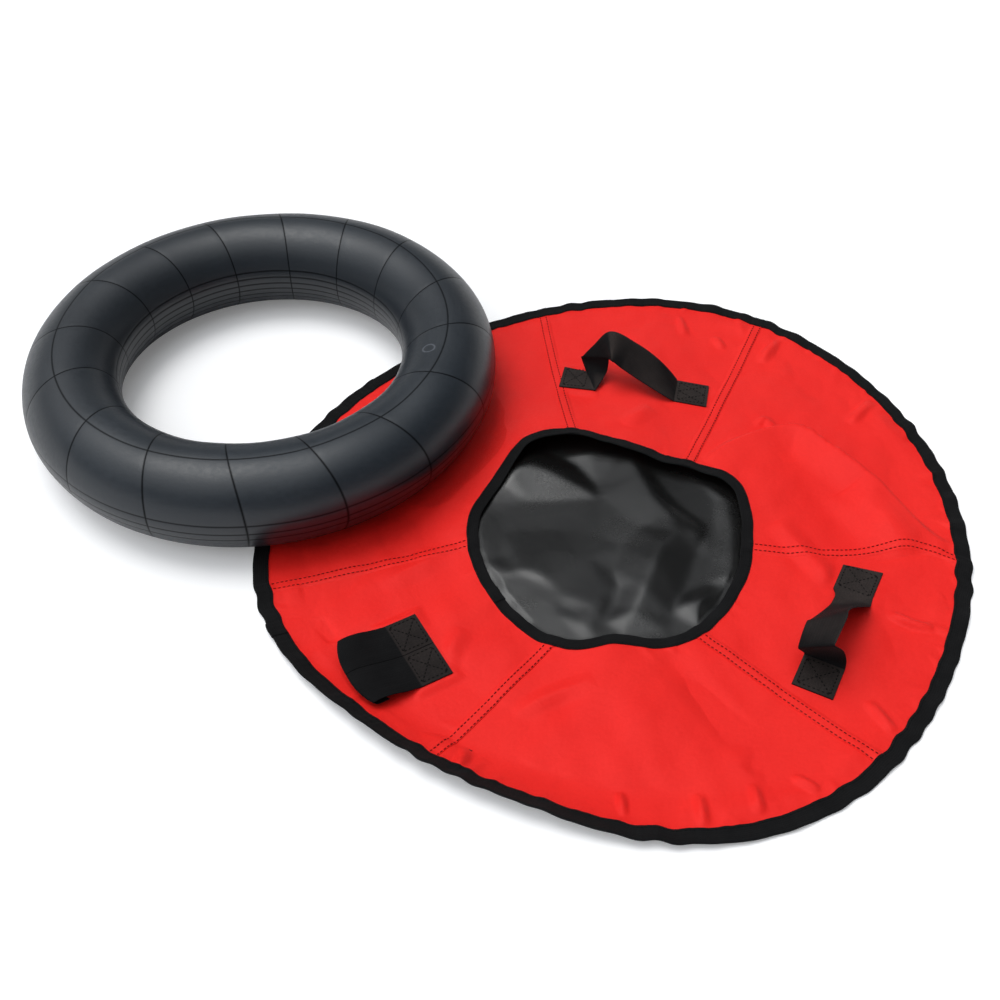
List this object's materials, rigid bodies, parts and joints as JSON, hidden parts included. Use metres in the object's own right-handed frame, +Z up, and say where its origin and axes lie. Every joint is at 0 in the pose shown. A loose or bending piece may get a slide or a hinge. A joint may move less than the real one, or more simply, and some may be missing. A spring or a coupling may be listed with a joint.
{
  "type": "snow tube",
  "caption": "Round sewn snow tube cover with webbing handles, a tow strap and a rider's opening, lying empty beside its inflated rubber inner tube.",
  "frame": {"origin": "the middle of the flat patch under the cover's base, on the ground", "axes": "+Z up from the ground, +X to the right in the picture and along the longest extent, +Y away from the viewer"},
  "size_m": [1.2168, 1.0015, 0.1319],
  "materials": {
    "red_cloth": "matte",
    "tarpaulin": "satin",
    "black_tape": "matte",
    "black_webbing": "matte",
    "tube_rubber": "satin",
    "valve_rubber": "matte",
    "brass": "polished",
    "steel": "satin",
    "cap_plastic": "satin"
  },
  "bodies": {
    "cover": {"top_handle_panel": "red_cloth", "far_left_panel": "red_cloth", "tow_strap_panel": "red_cloth", "front_panel": "red_cloth", "right_handle_panel": "red_cloth", "right_panel": "red_cloth", "slide_base": "tarpaulin", "edge_binding": "black_tape", "opening_binding": "black_tape", "top_handle_first_end": "black_webbing", "top_handle_first_leg": "black_webbing", "top_handle_second_leg": "black_webbing", "top_handle_second_end": "black_webbing", "right_handle_first_end": "black_webbing", "right_handle_first_leg": "black_webbing", "right_handle_second_leg": "black_webbing", "right_handle_second_end": "black_webbing", "tow_strap_first_end": "black_webbing", "tow_strap_second_end": "black_webbing"},
    "tube": {"inner_tube": "tube_rubber", "valve_pad": "valve_rubber", "valve_stem": "valve_rubber", "valve_core": "brass", "valve_spring": "steel"},
    "top_handle": {"top_handle_grip": "black_webbing"},
    "right_handle": {"right_handle_grip": "black_webbing"},
    "tow_loop": {"tow_strap_loop": "black_webbing"},
    "valve_pin": {"valve_pin": "steel"},
    "cap_seal": {"cap_seal": "valve_rubber"},
    "valve_cap": {"valve_cap": "cap_plastic"}
  },
  "joints": [
    {"name": "tube_lift", "type": "slide", "parent": "cover", "child": "tube", "axis": [0, 0, 1], "range_m": [0, 0.35]},
    {"name": "top_handle_swing", "type": "hinge", "parent": "cover", "child": "top_handle", "pos_m": [0.04099, 0.24126, 0.01015], "axis": [0.9795, -0.2013, -0.0023], "range_deg": [-30, 45], "stiffness_Nm_per_rad": 0.2, "deforming": ["top_handle_first_leg", "top_handle_second_leg"]},
    {"name": "right_handle_swing", "type": "hinge", "parent": "cover", "child": "right_handle", "pos_m": [0.24841, -0.18586, 0.00605], "axis": [-0.4524, -0.8918, -0.0018], "range_deg": [-45, 40], "stiffness_Nm_per_rad": 0.2, "deforming": ["right_handle_first_leg", "right_handle_second_leg"]},
    {"name": "tow_loop_lift", "type": "hinge", "parent": "cover", "child": "tow_loop", "pos_m": [-0.25682, -0.2317, 0.01026], "axis": [-0.4894, 0.8715, 0.0316], "range_deg": [0, 120]},
    {"name": "valve_pin_press", "type": "slide", "parent": "tube", "child": "valve_pin", "axis": [-0.1705, -0.9499, 0.2618], "range_m": [0, 0.0015], "stiffness_N_per_m": 500, "deforming": ["valve_spring"]},
    {"name": "cap_lift", "type": "slide", "parent": "tube", "child": "cap_seal", "axis": [0.1705, 0.9499, -0.2618], "range_m": [0, 0.00477]},
    {"name": "cap_turn", "type": "hinge", "parent": "cap_seal", "child": "valve_cap", "pos_m": [-0.49823, 0.03256, 0.05024], "axis": [0.1705, 0.9499, -0.2618], "range_deg": [0, 2160]}
  ],
  "couplings": [
    {"joint": "cap_turn", "follows": "cap_lift", "rad_per_m": 7903.3}
  ]
}
